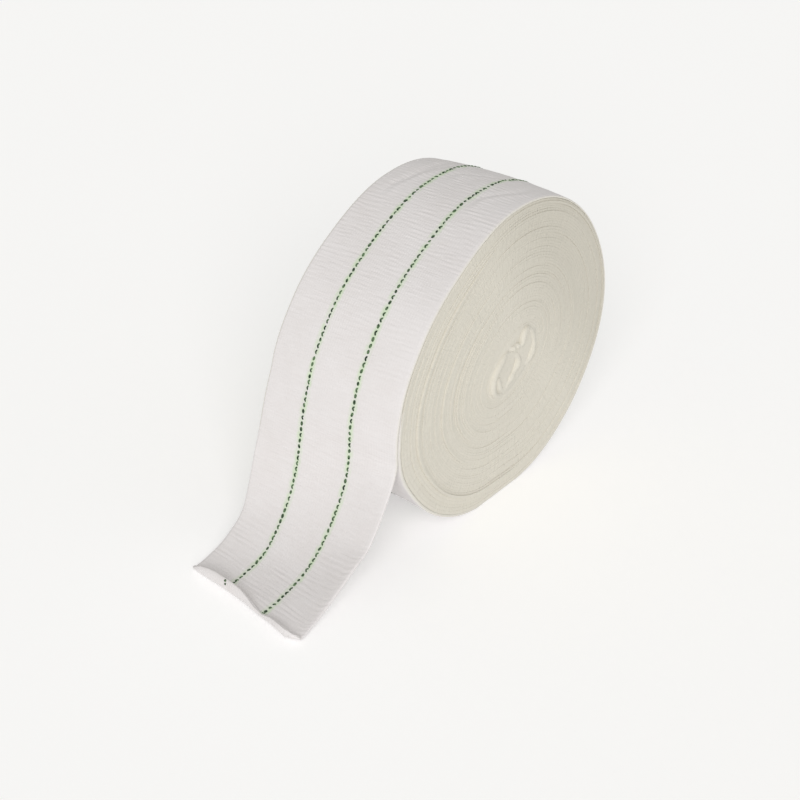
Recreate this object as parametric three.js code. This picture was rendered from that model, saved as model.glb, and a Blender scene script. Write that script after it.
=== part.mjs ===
// Tubular bandage roll: an elastic knitted tube, pressed flat and wound on itself without a core.
// The axis of the roll runs along X and the loose end runs out towards -Y.
// The origin is on the resting surface, under the roll's axis and midway across the cloth.
// Lengths are in millimetres, angles in degrees.

import * as THREE from 'three';
import { mergeVertices } from 'three/addons/utils/BufferGeometryUtils.js';

// Cloth: a flattened tube, so every thickness here counts both of its layers.
const CLOTH_WIDTH = 50;
const CLOTH_THICKNESS = 1.1;
const MOUTH_THICKNESS = 2.1;
const LAYER_THICKNESS = 0.45;
const CLEARANCE = 0.3;

// Green lines across the width, which also carry the shape of the loose end.
const FIRST_LINE_X = -9.1;
const SECOND_LINE_X = 8.6;
const LOOSE_END_DRIFT_X = -0.1;
const EDGE_DRIFT_X = -0.25;

// Roll: a soft, uneven round that stands on a small pressed flat. Angles are about the axis, from
// +Y towards +Z. radius is where the near edge of the cloth runs, crown is how far the middle of the
// width stands out past the two edges, or is drawn in where it is negative, and far is how far the
// far edge stands out past the near one.
const AXIS_HEIGHT = 47.8;
const SHOULDER_RADIUS = 0.6;
const OUTLINE = [
  { angle: 0, radius: 57.9, crown: 0.2, far: 0.0 },
  { angle: 30, radius: 57.2, crown: 0.5, far: 0.0 },
  { angle: 60, radius: 55.6, crown: 1.3, far: 0.0 },
  { angle: 90, radius: 52.9, crown: 0.3, far: -1.0 },
  { angle: 120, radius: 50.2, crown: 0.0, far: -0.2 },
  { angle: 150, radius: 52.8, crown: 0.6, far: 0.6 },
  { angle: 172, radius: 56.5, crown: 1.0, far: 1.0 },
  { angle: 192, radius: 57.6, crown: 0.2, far: 0.4 },
  { angle: 210, radius: 55.7, crown: -1.2, far: 0.0 },
  { angle: 225, radius: 54.0, crown: -1.8, far: 0.0 },
  { angle: 240, radius: 52.0, crown: -1.2, far: 0.0 },
  { angle: 260, radius: 49.1, crown: 0.0, far: 0.0 },
  { angle: 275, radius: 48.3, crown: 0.0, far: 0.0 },
  { angle: 292, radius: 49.5, crown: 0.0, far: 0.0 },
  { angle: 310, radius: 51.1, crown: 0.0, far: 0.0 },
  { angle: 330, radius: 53.7, crown: 0.0, far: 0.0 },
];

// The outer turn ends where the tape leaves the roll. There the turn below lies one thickness
// further in, and it rises to the outline again over the next stretch.
const LEAVING_ANGLE = 172;
const TURN_STEP = CLOTH_THICKNESS + CLEARANCE;
const STEP_LEAN_ANGLE = 0.3;
const STEP_END_ANGLE = 200;

// Core: the start of the tape, folded flat into an S that stands a little proud of both sides.
const CORE_Y = 2.9;
const CORE_Z = 47.6;
const CORE_LONG = 29;
const CORE_SHORT = 13.5;
const CORE_LEAN = 30;
const CORE_STAND = 1.6;
const CORE_GROOVE_WIDTH = 1.5;
const CORE_GROOVE_SWING = 2.6;
const CORE_GROOVE_DEPTH = 0.75;
const CORE_TOP_SHARE = 0.9;
const CORE_RIM_DEPTH = -0.9;

// Rings of the side faces. share runs from the core's rim (0) to the outline (1), slack moves a
// ring outwards on the +Y side and inwards on the -Y side, and stand is its height over the face.
const SIDE_RINGS = [
  { share: 0.05, slack: 0.00, stand: 0.2 },
  { share: 0.13, slack: 0.00, stand: 0.9 },
  { share: 0.22, slack: 0.00, stand: 0.1 },
  { share: 0.33, slack: 0.01, stand: 0.5 },
  { share: 0.44, slack: 0.02, stand: -0.2 },
  { share: 0.55, slack: 0.03, stand: 0.4 },
  { share: 0.65, slack: 0.04, stand: -0.1 },
  { share: 0.75, slack: 0.05, stand: 0.3 },
  { share: 0.82, slack: 0.05, stand: 0.2 },
  { share: 0.855, slack: 0.05, stand: 1.1 },
  { share: 0.89, slack: 0.04, stand: 0.0 },
  { share: 0.95, slack: 0.02, stand: -0.4 },
];
const CORE_RING_SHARES = [1, 0.82, 0.6, 0.38, 0.18];
const OUTLINE_COLUMNS = 72;
const BAND_ROWS = [1, 0.96, 0.6, 0.2, -0.2, -0.6, -0.96, -1];

// Middle of the loose end's thickness, in sections down its length. Each row gives y and z on the
// far edge, the first line, the second line and the near edge. The last row is where the cut end
// turns up, later on the near side because the tape was cut at a slant.
const LOOSE_SECTIONS = [
  { far: [-60.0, 46.5], first: [-60.0, 46.5], second: [-59.1, 46.5], near: [-57.3, 46.5] },
  { far: [-63.1, 37.0], first: [-62.2, 37.0], second: [-59.9, 37.0], near: [-57.5, 37.0] },
  { far: [-66.5, 27.5], first: [-64.4, 27.5], second: [-62.1, 27.8], near: [-61.9, 28.0] },
  { far: [-69.6, 18.0], first: [-68.4, 18.2], second: [-67.1, 19.0], near: [-71.3, 15.3] },
  { far: [-73.6, 9.3], first: [-74.4, 9.4], second: [-74.2, 10.8], near: [-78.0, 11.9] },
  { far: [-82.4, 3.5], first: [-82.2, 3.5], second: [-82.4, 5.0], near: [-84.6, 8.4] },
  { far: [-91.0, 1.1], first: [-91.0, 1.3], second: [-92.6, 2.2], near: [-94.8, 3.6] },
  { far: [-95.4, 0.7], first: [-97.4, 1.1], second: [-101.3, 1.3], near: [-104.8, 0.9] },
];
const CURL_RADIUS = 1.9;
const CURL_TURN_FAR = 80;
const CURL_TURN_MIDDLE = 120;
const CURL_TURN_NEAR = 100;
const NEAR_CORNER_RADIUS = 2.6;
const FAR_CORNER_RADIUS = 0.8;
const RESTING_LIFT = 0.5;
const MOUTH_BULGE_START = 0.62;
const POCKET_DEPTH_ROWS = 7;

const LENGTH_ROWS = 34;
const CURL_ROWS = 5;
// Places across the loose end from the far edge (0) to the near edge (1), with the share of the
// full thickness there: the edges are the tube's two folds.
const WIDTH_PLACES = [
  { place: 0, fullness: 0 },
  { place: 0.012, fullness: 0.75 },
  { place: 0.05, fullness: 1 },
  { place: 0.13, fullness: 1 },
  { place: 0.23, fullness: 1 },
  { place: 0.33, fullness: 1 },
  { place: 0.44, fullness: 1 },
  { place: 0.55, fullness: 1 },
  { place: 0.66, fullness: 1 },
  { place: 0.77, fullness: 1 },
  { place: 0.87, fullness: 1 },
  { place: 0.95, fullness: 1 },
  { place: 0.988, fullness: 0.75 },
  { place: 1, fullness: 0 },
];
const POCKET_FIRST_PLACE = 2;

// Points closer than this are one point.
const JOIN_DISTANCE = 1e-4;

const radians = (degrees) => THREE.MathUtils.degToRad(degrees);
const blend = (from, to, share) => from + (to - from) * share;

// A smooth value of one column of the outline's table at any angle, closed on itself.
function alongOutline(angle, column) {
  const turn = 360;
  const degrees = ((THREE.MathUtils.radToDeg(angle) % turn) + turn) % turn;
  const count = OUTLINE.length;
  const row = (index) => {
    const around = Math.floor(index / count);
    const entry = OUTLINE[index - around * count];
    return { at: entry.angle + around * turn, value: entry[column] };
  };
  let index = 0;
  while (row(index + 1).at <= degrees) {
    index += 1;
  }
  const [before, start, end, after] = [-1, 0, 1, 2].map((step) => row(index + step));
  const span = end.at - start.at;
  const slopeAtStart = ((end.value - before.value) / (end.at - before.at)) * span;
  const slopeAtEnd = ((after.value - start.value) / (after.at - start.at)) * span;
  const share = (degrees - start.at) / span;
  const squared = share * share;
  const cubed = squared * share;
  return start.value * (2 * cubed - 3 * squared + 1) + slopeAtStart * (cubed - 2 * squared + share)
    + end.value * (3 * squared - 2 * cubed) + slopeAtEnd * (cubed - squared);
}

// Share of the step that is still there this far past the place where the tape leaves.
function stepShare(angle) {
  const turn = 2 * Math.PI;
  const around = ((angle % turn) + turn) % turn;
  const past = (around - radians(LEAVING_ANGLE)) / radians(STEP_END_ANGLE - LEAVING_ANGLE);
  return past > 0 && past < 1 ? 1 - THREE.MathUtils.smoothstep(past, 0, 1) : 0;
}

function woundRadius(angle) {
  return alongOutline(angle, 'radius') - TURN_STEP * stepShare(angle);
}

// How far the outer cloth stands out past the near edge, at a place across the width.
function riseAt(angle, x) {
  const across = x / (CLOTH_WIDTH / 2);
  const crown = alongOutline(angle, 'crown') * (1 - across * across);
  return crown + alongOutline(angle, 'far') * ((1 - across) / 2);
}

function onRoll(angle, radius) {
  return { y: radius * Math.cos(angle), z: Math.max(0, AXIS_HEIGHT + radius * Math.sin(angle)) };
}

// Angles backwards round the outline from the top of the step to its foot, so that the last column
// and the first one make the step's wall.
function outlineAngles() {
  const angles = [];
  const start = radians(LEAVING_ANGLE);
  const sweep = 2 * Math.PI - radians(STEP_LEAN_ANGLE);
  for (let column = 0; column < OUTLINE_COLUMNS; column += 1) {
    angles.push(start - (sweep * column) / (OUTLINE_COLUMNS - 1));
  }
  return angles;
}

// How far the folded core stands out, with an S-shaped groove between its two lobes.
function coreStand(along, across, share) {
  const swing = CORE_GROOVE_SWING * Math.sin((2 * Math.PI * along) / CORE_LONG);
  const fromGroove = (across + swing) / CORE_GROOVE_WIDTH;
  const fold = 1 - CORE_GROOVE_DEPTH * Math.exp(-fromGroove * fromGroove);
  return share > CORE_TOP_SHARE ? CORE_RIM_DEPTH : CORE_STAND * fold;
}

function corePoint(angle, share) {
  const lean = radians(CORE_LEAN);
  const along = share * (CORE_LONG / 2) * Math.cos(angle - lean);
  const across = share * (CORE_SHORT / 2) * Math.sin(angle - lean);
  return {
    y: CORE_Y + along * Math.cos(lean) - across * Math.sin(lean),
    z: CORE_Z + along * Math.sin(lean) + across * Math.cos(lean),
    stand: coreStand(along, across, share),
  };
}

// Collects triangles, and gives one closed geometry with shared vertices.
class Skin {
  constructor() {
    this.positions = [];
  }

  triangle(a, b, c) {
    const sides = [a.distanceTo(b), b.distanceTo(c), c.distanceTo(a)];
    if (Math.min(...sides) > JOIN_DISTANCE) {
      for (const corner of [a, b, c]) {
        this.positions.push(corner.x, corner.y, corner.z);
      }
    }
  }

  quad(a, b, c, d) {
    this.triangle(a, b, c);
    this.triangle(a, c, d);
  }

  // Joins each row of points to the next, which may close on itself.
  rows(rows, closed) {
    for (let row = 0; row + 1 < rows.length; row += 1) {
      const count = rows[row].length;
      const last = closed ? count : count - 1;
      for (let place = 0; place < last; place += 1) {
        const next = (place + 1) % count;
        this.quad(rows[row][place], rows[row + 1][place], rows[row + 1][next], rows[row][next]);
      }
    }
  }

  // Closes a ring of points from its centre.
  fan(centre, ring) {
    for (let place = 0; place < ring.length; place += 1) {
      this.triangle(centre, ring[place], ring[(place + 1) % ring.length]);
    }
  }

  // Fills an outline whose first corner sees all the others.
  outline(corners) {
    for (let corner = 1; corner + 1 < corners.length; corner += 1) {
      this.triangle(corners[0], corners[corner], corners[corner + 1]);
    }
  }

  geometry() {
    const loose = new THREE.BufferGeometry();
    loose.setAttribute('position', new THREE.Float32BufferAttribute(this.positions, 3));
    const joined = mergeVertices(loose, JOIN_DISTANCE);
    joined.computeVertexNormals();
    return joined;
  }
}

function sideRings(side, angles) {
  const faceX = side * (CLOTH_WIDTH / 2);
  const rings = [];
  for (const share of CORE_RING_SHARES.slice().reverse()) {
    rings.push(angles.map((angle) => {
      const core = corePoint(angle, share);
      return new THREE.Vector3(faceX + side * core.stand, core.y, core.z);
    }));
  }
  for (const ring of SIDE_RINGS) {
    rings.push(angles.map((angle) => {
      const rim = corePoint(angle, 1);
      const edge = onRoll(angle, woundRadius(angle) + riseAt(angle, faceX) - SHOULDER_RADIUS);
      const share = ring.share + ring.slack * Math.cos(angle);
      return new THREE.Vector3(
        faceX + side * ring.stand,
        blend(rim.y, edge.y, share),
        blend(rim.z, edge.z, share),
      );
    }));
  }
  return rings;
}

function bandRings(angles) {
  return BAND_ROWS.map((row) => angles.map((angle) => {
    const shoulder = Math.abs(row) === 1 ? SHOULDER_RADIUS : 0;
    const x = (row * CLOTH_WIDTH) / 2;
    const place = onRoll(angle, woundRadius(angle) + riseAt(angle, x) - shoulder);
    return new THREE.Vector3(x, place.y, place.z);
  }));
}

function woundRollGeometry() {
  const angles = outlineAngles();
  const near = sideRings(1, angles);
  const far = sideRings(-1, angles);
  const skin = new Skin();
  skin.rows([...far, ...bandRings(angles).reverse(), ...near.slice().reverse()], true);
  const coreMiddle = coreStand(0, 0, 0);
  const nearMiddle = new THREE.Vector3(CLOTH_WIDTH / 2 + coreMiddle, CORE_Y, CORE_Z);
  const farMiddle = new THREE.Vector3(-CLOTH_WIDTH / 2 - coreMiddle, CORE_Y, CORE_Z);
  skin.fan(nearMiddle, near[0].slice().reverse());
  skin.fan(farMiddle, far[0]);
  return skin.geometry();
}

// Moves a point outwards, away from the axis, until it clears the roll by this much.
function clearOfRoll(point, gap) {
  const fromAxis = { y: point.y, z: point.z - AXIS_HEIGHT };
  const angle = Math.atan2(fromAxis.z, fromAxis.y);
  const distance = Math.hypot(fromAxis.y, fromAxis.z);
  const needed = woundRadius(angle) + Math.max(0, riseAt(angle, point.x)) + gap;
  if (distance < needed) {
    point.y = needed * Math.cos(angle);
    point.z = AXIS_HEIGHT + needed * Math.sin(angle);
  }
  return point;
}

function lengthwiseCurves() {
  const lines = [
    { name: 'far', x: -CLOTH_WIDTH / 2 + EDGE_DRIFT_X },
    { name: 'first', x: FIRST_LINE_X },
    { name: 'second', x: SECOND_LINE_X },
    { name: 'near', x: CLOTH_WIDTH / 2 + EDGE_DRIFT_X },
  ];
  const wallAngle = radians(LEAVING_ANGLE + STEP_LEAN_ANGLE);
  const rootAngle = wallAngle + CLEARANCE / woundRadius(wallAngle);
  const rootRadius = woundRadius(rootAngle) + CLEARANCE + CLOTH_THICKNESS / 2;
  const root = onRoll(rootAngle, rootRadius);
  return lines.map((line) => new THREE.CatmullRomCurve3([
    new THREE.Vector3(line.x, root.y, root.z),
    ...LOOSE_SECTIONS.map((section) => (
      new THREE.Vector3(line.x + LOOSE_END_DRIFT_X, ...section[line.name])
    )),
  ]));
}

// How much shorter the tape is beside its rounded corners.
function cornerCut(place) {
  const toNear = (1 - place) * CLOTH_WIDTH;
  const toFar = place * CLOTH_WIDTH;
  const cut = (distance, radius) => {
    const inside = Math.max(0, radius - distance);
    return radius - Math.sqrt(radius * radius - inside * inside);
  };
  return cut(toNear, NEAR_CORNER_RADIUS) + cut(toFar, FAR_CORNER_RADIUS);
}

// A smooth hump over the width: one value at each edge and one in the middle.
function acrossWidth(place, far, middle, near) {
  const edge = blend(far, near, place);
  const hump = Math.sin(Math.PI * place);
  return blend(edge, middle, hump * hump);
}

function middleRows() {
  const curves = lengthwiseCurves();
  const length = curves[0].getLength();
  const rows = [];
  for (let row = 0; row <= LENGTH_ROWS; row += 1) {
    rows.push(WIDTH_PLACES.map(({ place }) => {
      const share = (row / LENGTH_ROWS) * (1 - cornerCut(place) / length);
      const across = new THREE.CatmullRomCurve3(curves.map((curve) => curve.getPointAt(share)));
      const point = across.getPoint(place);
      return clearOfRoll(point, CLEARANCE + CLOTH_THICKNESS / 2);
    }));
  }
  const end = rows[LENGTH_ROWS];
  const before = rows[LENGTH_ROWS - 1];
  for (let row = 1; row <= CURL_ROWS; row += 1) {
    rows.push(WIDTH_PLACES.map(({ place }, column) => {
      const turn = acrossWidth(place, CURL_TURN_FAR, CURL_TURN_MIDDLE, CURL_TURN_NEAR);
      const angle = (radians(turn) * row) / CURL_ROWS;
      const onward = end[column].clone().sub(before[column]).setX(0).normalize();
      const upward = new THREE.Vector3(0, onward.z, -onward.y);
      return end[column].clone()
        .addScaledVector(onward, CURL_RADIUS * Math.sin(angle))
        .addScaledVector(upward, CURL_RADIUS * (1 - Math.cos(angle)));
    }));
  }
  return rows;
}

function outwardNormal(rows, row, column) {
  const rowBefore = rows[Math.max(0, row - 1)][column];
  const rowAfter = rows[Math.min(rows.length - 1, row + 1)][column];
  const columnBefore = rows[row][Math.max(0, column - 1)];
  const columnAfter = rows[row][Math.min(WIDTH_PLACES.length - 1, column + 1)];
  const along = rowAfter.clone().sub(rowBefore);
  const across = columnAfter.clone().sub(columnBefore);
  return along.cross(across).normalize();
}

// Thickness of both layers together: they part a little towards the cut mouth.
function thicknessAt(rowShare, place, fullness) {
  const past = (rowShare - MOUTH_BULGE_START) / (1 - MOUTH_BULGE_START);
  const towardsMouth = THREE.MathUtils.smoothstep(past, 0, 1);
  const mouth = acrossWidth(place, CLOTH_THICKNESS, MOUTH_THICKNESS, CLOTH_THICKNESS);
  return fullness * blend(CLOTH_THICKNESS, mouth, towardsMouth);
}

function layerRows(middle, inset) {
  const faces = { outer: [], under: [] };
  middle.forEach((points, row) => {
    const rowShare = row / (middle.length - 1);
    const normals = points.map((point, column) => outwardNormal(middle, row, column));
    const half = WIDTH_PLACES.map(({ place, fullness }) => (
      Math.max(0, thicknessAt(rowShare, place, fullness) / 2 - inset)
    ));
    faces.outer.push(points.map((point, column) => (
      point.clone().addScaledVector(normals[column], half[column])
    )));
    faces.under.push(points.map((point, column) => {
      const under = point.clone().addScaledVector(normals[column], -half[column]);
      under.z = under.z < RESTING_LIFT + inset ? inset : under.z;
      return clearOfRoll(under, CLEARANCE);
    }));
  });
  return faces;
}

function looseEndGeometry() {
  const middle = middleRows();
  const { outer, under } = layerRows(middle, 0);
  const reversed = (row) => row.slice().reverse();
  const skin = new Skin();
  skin.rows(outer, false);
  skin.rows(under.map(reversed), false);
  skin.rows([under[0], outer[0]], false);

  // The mouth: a shallow pocket between the tube's two layers, open at the cut end.
  const inner = layerRows(middle, LAYER_THICKNESS);
  const first = POCKET_FIRST_PLACE;
  const last = WIDTH_PLACES.length - 1 - POCKET_FIRST_PLACE;
  const lastRow = middle.length - 1;
  const inPocket = (rows) => (
    rows.slice(lastRow - POCKET_DEPTH_ROWS).map((row) => row.slice(first, last + 1))
  );
  const roof = inPocket(inner.outer);
  const floor = inPocket(inner.under);
  const farSide = (rows) => rows.map((row) => row[0]);
  const nearSide = (rows) => rows.map((row) => row[row.length - 1]);
  skin.rows(roof.map(reversed), false);
  skin.rows(floor, false);
  skin.rows([farSide(floor), farSide(roof)], false);
  skin.rows([nearSide(roof), nearSide(floor)], false);
  skin.rows([roof[0], floor[0]], false);

  // The cut rim round the mouth.
  const outerEnd = outer[lastRow];
  const underEnd = under[lastRow];
  const roofEnd = roof[roof.length - 1];
  const floorEnd = floor[floor.length - 1];
  skin.rows([outerEnd.slice(first, last + 1), roofEnd], false);
  skin.rows([floorEnd, underEnd.slice(first, last + 1)], false);
  skin.rows([outerEnd.slice(0, first), underEnd.slice(0, first)], false);
  skin.rows([outerEnd.slice(last + 1), underEnd.slice(last + 1)], false);
  skin.outline([
    outerEnd[first - 1],
    underEnd[first - 1],
    underEnd[first],
    floorEnd[0],
    roofEnd[0],
    outerEnd[first],
  ]);
  skin.outline([
    outerEnd[last + 1],
    outerEnd[last],
    roofEnd[last - first],
    floorEnd[last - first],
    underEnd[last],
    underEnd[last + 1],
  ]);
  return skin.geometry();
}

function knit(colour) {
  return new THREE.MeshStandardMaterial({ color: colour, roughness: 0.95, metalness: 0 });
}

const woundRoll = new THREE.Mesh(woundRollGeometry(), knit(0xdcd8cc));
woundRoll.name = 'wound_roll';

const looseEnd = new THREE.Mesh(looseEndGeometry(), knit(0xe6e3df));
looseEnd.name = 'loose_end';

const group = new THREE.Group();
group.add(woundRoll, looseEnd);

export default group;
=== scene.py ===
import math
from types import SimpleNamespace

import bpy
import numpy as np
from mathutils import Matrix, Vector


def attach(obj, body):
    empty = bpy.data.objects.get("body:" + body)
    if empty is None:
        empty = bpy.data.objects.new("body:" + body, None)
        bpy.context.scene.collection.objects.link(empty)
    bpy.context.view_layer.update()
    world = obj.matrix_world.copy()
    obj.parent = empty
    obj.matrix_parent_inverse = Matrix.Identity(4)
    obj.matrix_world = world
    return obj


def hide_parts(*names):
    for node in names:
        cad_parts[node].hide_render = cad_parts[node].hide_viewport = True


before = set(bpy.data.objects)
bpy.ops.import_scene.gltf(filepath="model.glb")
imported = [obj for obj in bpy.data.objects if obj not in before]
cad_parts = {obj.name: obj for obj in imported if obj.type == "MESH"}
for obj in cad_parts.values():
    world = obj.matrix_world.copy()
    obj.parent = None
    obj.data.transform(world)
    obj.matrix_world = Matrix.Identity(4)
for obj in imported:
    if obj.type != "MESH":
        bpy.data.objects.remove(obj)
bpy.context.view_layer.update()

# A roll of tubular bandage: a knitted tube pressed flat, wound on itself round its own folded start.
# Lengths are in millimetres and angles in degrees, and MM turns a finished mesh into metres.
MM = 0.001
BODY = "root"

# The tape, from the roll's own sizes.
CLOTH_WIDTH = 50.0
CLOTH_THICKNESS = 1.1
LIP_THICKNESS = 1.05
LAYER_THICKNESS = 0.45
FIRST_LINE_X = -9.1
SECOND_LINE_X = 8.6
LOOSE_END_DRIFT_X = -0.10
EDGE_DRIFT_X = -0.25

# The roll's outline about its axis, from +Y towards +Z, with the height of its crown and of its
# far side.
AXIS_HEIGHT = 47.8
OUTLINE = [
    dict(angle=0, radius=57.9, crown=0.2, far=0.0),
    dict(angle=30, radius=57.2, crown=0.5, far=0.0),
    dict(angle=60, radius=55.6, crown=1.3, far=0.0),
    dict(angle=90, radius=52.9, crown=0.3, far=-1.0),
    dict(angle=120, radius=50.2, crown=0.0, far=-0.2),
    dict(angle=150, radius=52.8, crown=0.6, far=0.6),
    dict(angle=172, radius=56.5, crown=1.0, far=1.0),
    dict(angle=192, radius=57.85, crown=0.2, far=0.4),
    dict(angle=210, radius=55.7, crown=-1.2, far=0.0),
    dict(angle=225, radius=54.0, crown=-1.8, far=0.0),
    dict(angle=240, radius=52.0, crown=-1.2, far=0.0),
    dict(angle=260, radius=49.1, crown=0.0, far=0.0),
    dict(angle=275, radius=48.3, crown=0.0, far=0.0),
    dict(angle=292, radius=49.5, crown=0.0, far=0.0),
    dict(angle=310, radius=51.1, crown=0.0, far=0.0),
    dict(angle=330, radius=53.7, crown=0.0, far=0.0),
]
LEAVING_ANGLE = 172
STEP_SPAN = 28
STEP_FADE_TURNS = 6
CROWN_FADE_SHARE = 0.15
LEAVING_FADE = 40

# The folded start of the tape: an ellipse that the turns begin round, and the fold's own path.
CORE_Y = 2.4
CORE_Z = 47.3
CORE_LONG = 25.5
CORE_SHORT = 13.5
CORE_LEAN = 30
CORE_BED_STAND = 0.35
CORE_BED_LUMPS = 0.12
CORE_BED_SHARES = (0.25, 0.5, 0.75, 0.97, 1.15)
CORE_BED_STEP = 10
CORE_BED_SUNK_RIM = 1.0
TURNS = 48
FIRST_TURN_SHARE = 0.045
CORE_FOLD = [
    dict(y=-5.1, z=44.9, thick=2.2, stand=0.6),
    dict(y=-5.2, z=43.0, thick=2.9, stand=1.1),
    dict(y=-4.8, z=41.3, thick=2.9, stand=1.1),
    dict(y=-3.7, z=40.0, thick=2.2, stand=0.7),
    dict(y=-2.0, z=39.4, thick=1.8, stand=0.4),
    dict(y=-0.3, z=39.9, thick=2.0, stand=0.7),
    dict(y=0.6, z=40.9, thick=2.3, stand=1.1),
    dict(y=1.8, z=42.3, thick=2.4, stand=1.4),
    dict(y=3.2, z=43.6, thick=2.3, stand=1.1),
    dict(y=4.2, z=45.0, thick=2.6, stand=1.4),
    dict(y=5.1, z=46.7, thick=2.8, stand=1.5),
    dict(y=4.9, z=48.4, thick=2.2, stand=0.6),
    dict(y=3.4, z=49.6, thick=1.9, stand=0.15),
    dict(y=1.0, z=50.4, thick=1.8, stand=0.1),
    dict(y=-1.0, z=51.9, thick=2.0, stand=0.8),
    dict(y=-3.2, z=51.2, thick=2.4, stand=1.4),
    dict(y=-5.3, z=49.7, thick=2.6, stand=1.7),
    dict(y=-7.2, z=47.7, thick=2.7, stand=1.7),
    dict(y=-8.5, z=45.4, thick=2.7, stand=1.7),
    dict(y=-9.0, z=43.2, thick=2.7, stand=1.7),
    dict(y=-8.4, z=41.0, thick=2.5, stand=1.5),
    dict(y=-6.9, z=39.3, thick=2.1, stand=1.1),
    dict(y=-4.6, z=38.0, thick=1.8, stand=0.6),
    dict(y=-1.5, z=37.6, thick=1.5, stand=0.2),
    dict(y=2.5, z=39.2, thick=1.5, stand=0.1),
    dict(y=6.2, z=41.1, thick=1.6, stand=0.1),
    dict(y=9.6, z=42.9, thick=2.2, stand=0.5),
    dict(y=12.2, z=44.7, thick=2.9, stand=1.3),
    dict(y=13.6, z=47.0, thick=2.9, stand=1.5),
    dict(y=14.3, z=49.5, thick=2.2, stand=1.0),
    dict(y=13.9, z=52.2, thick=1.7, stand=0.6),
    dict(y=12.8, z=54.6, thick=1.6, stand=0.6),
    dict(y=11.2, z=56.0, thick=1.8, stand=1.1),
    dict(y=9.4, z=56.4, thick=2.1, stand=1.6),
    dict(y=7.9, z=55.5, thick=2.4, stand=1.7),
    dict(y=7.2, z=53.9, thick=2.4, stand=1.7),
    dict(y=6.7, z=52.5, thick=2.1, stand=1.5),
    dict(y=5.6, z=51.9, thick=1.7, stand=0.9),
    dict(y=4.4, z=52.5, thick=2.0, stand=1.4),
    dict(y=3.4, z=52.6, thick=1.8, stand=0.9),
    dict(y=2.2, z=52.4, thick=2.0, stand=1.4),
    dict(y=0.6, z=52.9, thick=1.6, stand=0.8),
    dict(y=-1.4, z=53.6, thick=1.2, stand=0.4),
    dict(y=-3.8, z=53.0, thick=1.0, stand=0.1),
    dict(y=-7.4, z=51.0, thick=0.9, stand=0.1),
    dict(y=-10.2, z=48.0, thick=0.9, stand=0.1),
]

# Rings of the side faces: share runs from the core's rim to the outline, slack moves a ring out on
# the +Y side and in on the -Y side, and stand is its height over the face.
SIDE_RINGS = [
    dict(share=0.0, slack=0.0, stand=0.2),
    dict(share=0.05, slack=0.0, stand=0.15),
    dict(share=0.13, slack=0.0, stand=0.4),
    dict(share=0.22, slack=0.0, stand=0.1),
    dict(share=0.33, slack=0.01, stand=0.35),
    dict(share=0.44, slack=0.02, stand=0.0),
    dict(share=0.55, slack=0.03, stand=0.3),
    dict(share=0.65, slack=0.04, stand=0.0),
    dict(share=0.75, slack=0.05, stand=0.2),
    dict(share=0.82, slack=0.05, stand=0.1),
    dict(share=0.855, slack=0.05, stand=0.35),
    dict(share=0.89, slack=0.04, stand=0.0),
    dict(share=0.95, slack=0.02, stand=-0.1),
    dict(share=1.0, slack=0.0, stand=0.0),
]
# Single turns that stand out of the faces or lie deeper, between two angles.
PROUD_TURNS = [
    dict(turn=7, first=95, last=290, stand=0.55),
    dict(turn=8, first=95, last=290, stand=-0.15),
    dict(turn=1, first=-70, last=110, stand=-0.25),
    dict(turn=2, first=-70, last=80, stand=0.25),
    dict(turn=42, first=-15, last=45, stand=0.4),
    dict(turn=43, first=-15, last=45, stand=-0.2),
    dict(turn=34, first=110, last=240, stand=0.2),
    dict(turn=30, first=120, last=230, stand=0.28),
    dict(turn=26, first=100, last=220, stand=0.2),
    dict(turn=21, first=100, last=240, stand=0.28),
    dict(turn=17, first=90, last=230, stand=0.18),
    dict(turn=14, first=110, last=220, stand=0.22),
    dict(turn=10, first=100, last=250, stand=0.18),
]
PROUD_FADE = 25
PROUD_SPREAD = 0.45
TURN_EDGE_ROUNDING = 0.05
TURN_EDGE_WIDTH = 0.16
# From a turn's outer side to the middle of its edge: how far in from the edge and how far down, as
# shares of the rounding's size.
EDGE_SECTION = [
    dict(inset=1.0, sink=0.0),
    dict(inset=0.55, sink=0.07),
    dict(inset=0.2, sink=0.32),
]
EDGE_WRAP = 0.4
# How unevenly the edges stand, as slow waves along the tape: the turns' two and the core's one.
TURN_WAVES = [
    dict(height=0.10, spacing=110, seed=11),
    dict(height=0.06, spacing=17, seed=21),
]
CORE_WAVE = dict(height=0.22, spacing=3.5, seed=31)
SETTLED_TURNS = 0.12
# The ribbon's end goes on under the outer turn and gets thinner there.
OVERLAP_ROWS = 4
TAPERED_TURNS = 0.04
TAPERED_THICKNESS = 0.4

# Middle of the loose end's thickness, in sections down its length: y and z on the far edge, the
# first line, the second line and the near edge.
LOOSE_SECTIONS = [
    dict(far=(-60.0, 46.5), first=(-60.0, 46.5), second=(-59.1, 46.5), near=(-57.3, 46.5)),
    dict(far=(-63.1, 37.0), first=(-62.2, 37.0), second=(-59.9, 37.0), near=(-57.5, 37.0)),
    dict(far=(-66.5, 27.5), first=(-64.4, 27.5), second=(-62.1, 27.8), near=(-61.9, 28.0)),
    dict(far=(-69.6, 18.0), first=(-68.4, 18.2), second=(-67.1, 19.0), near=(-71.3, 15.3)),
    dict(far=(-73.6, 9.3), first=(-74.4, 9.4), second=(-74.2, 10.8), near=(-78.0, 11.9)),
    dict(far=(-82.4, 3.5), first=(-82.2, 3.5), second=(-82.4, 5.0), near=(-84.6, 8.4)),
    dict(far=(-91.0, 1.1), first=(-91.0, 1.3), second=(-92.6, 2.2), near=(-94.8, 3.6)),
    dict(far=(-95.4, 0.7), first=(-97.4, 1.1), second=(-101.3, 1.3), near=(-104.8, 0.9)),
]
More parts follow.
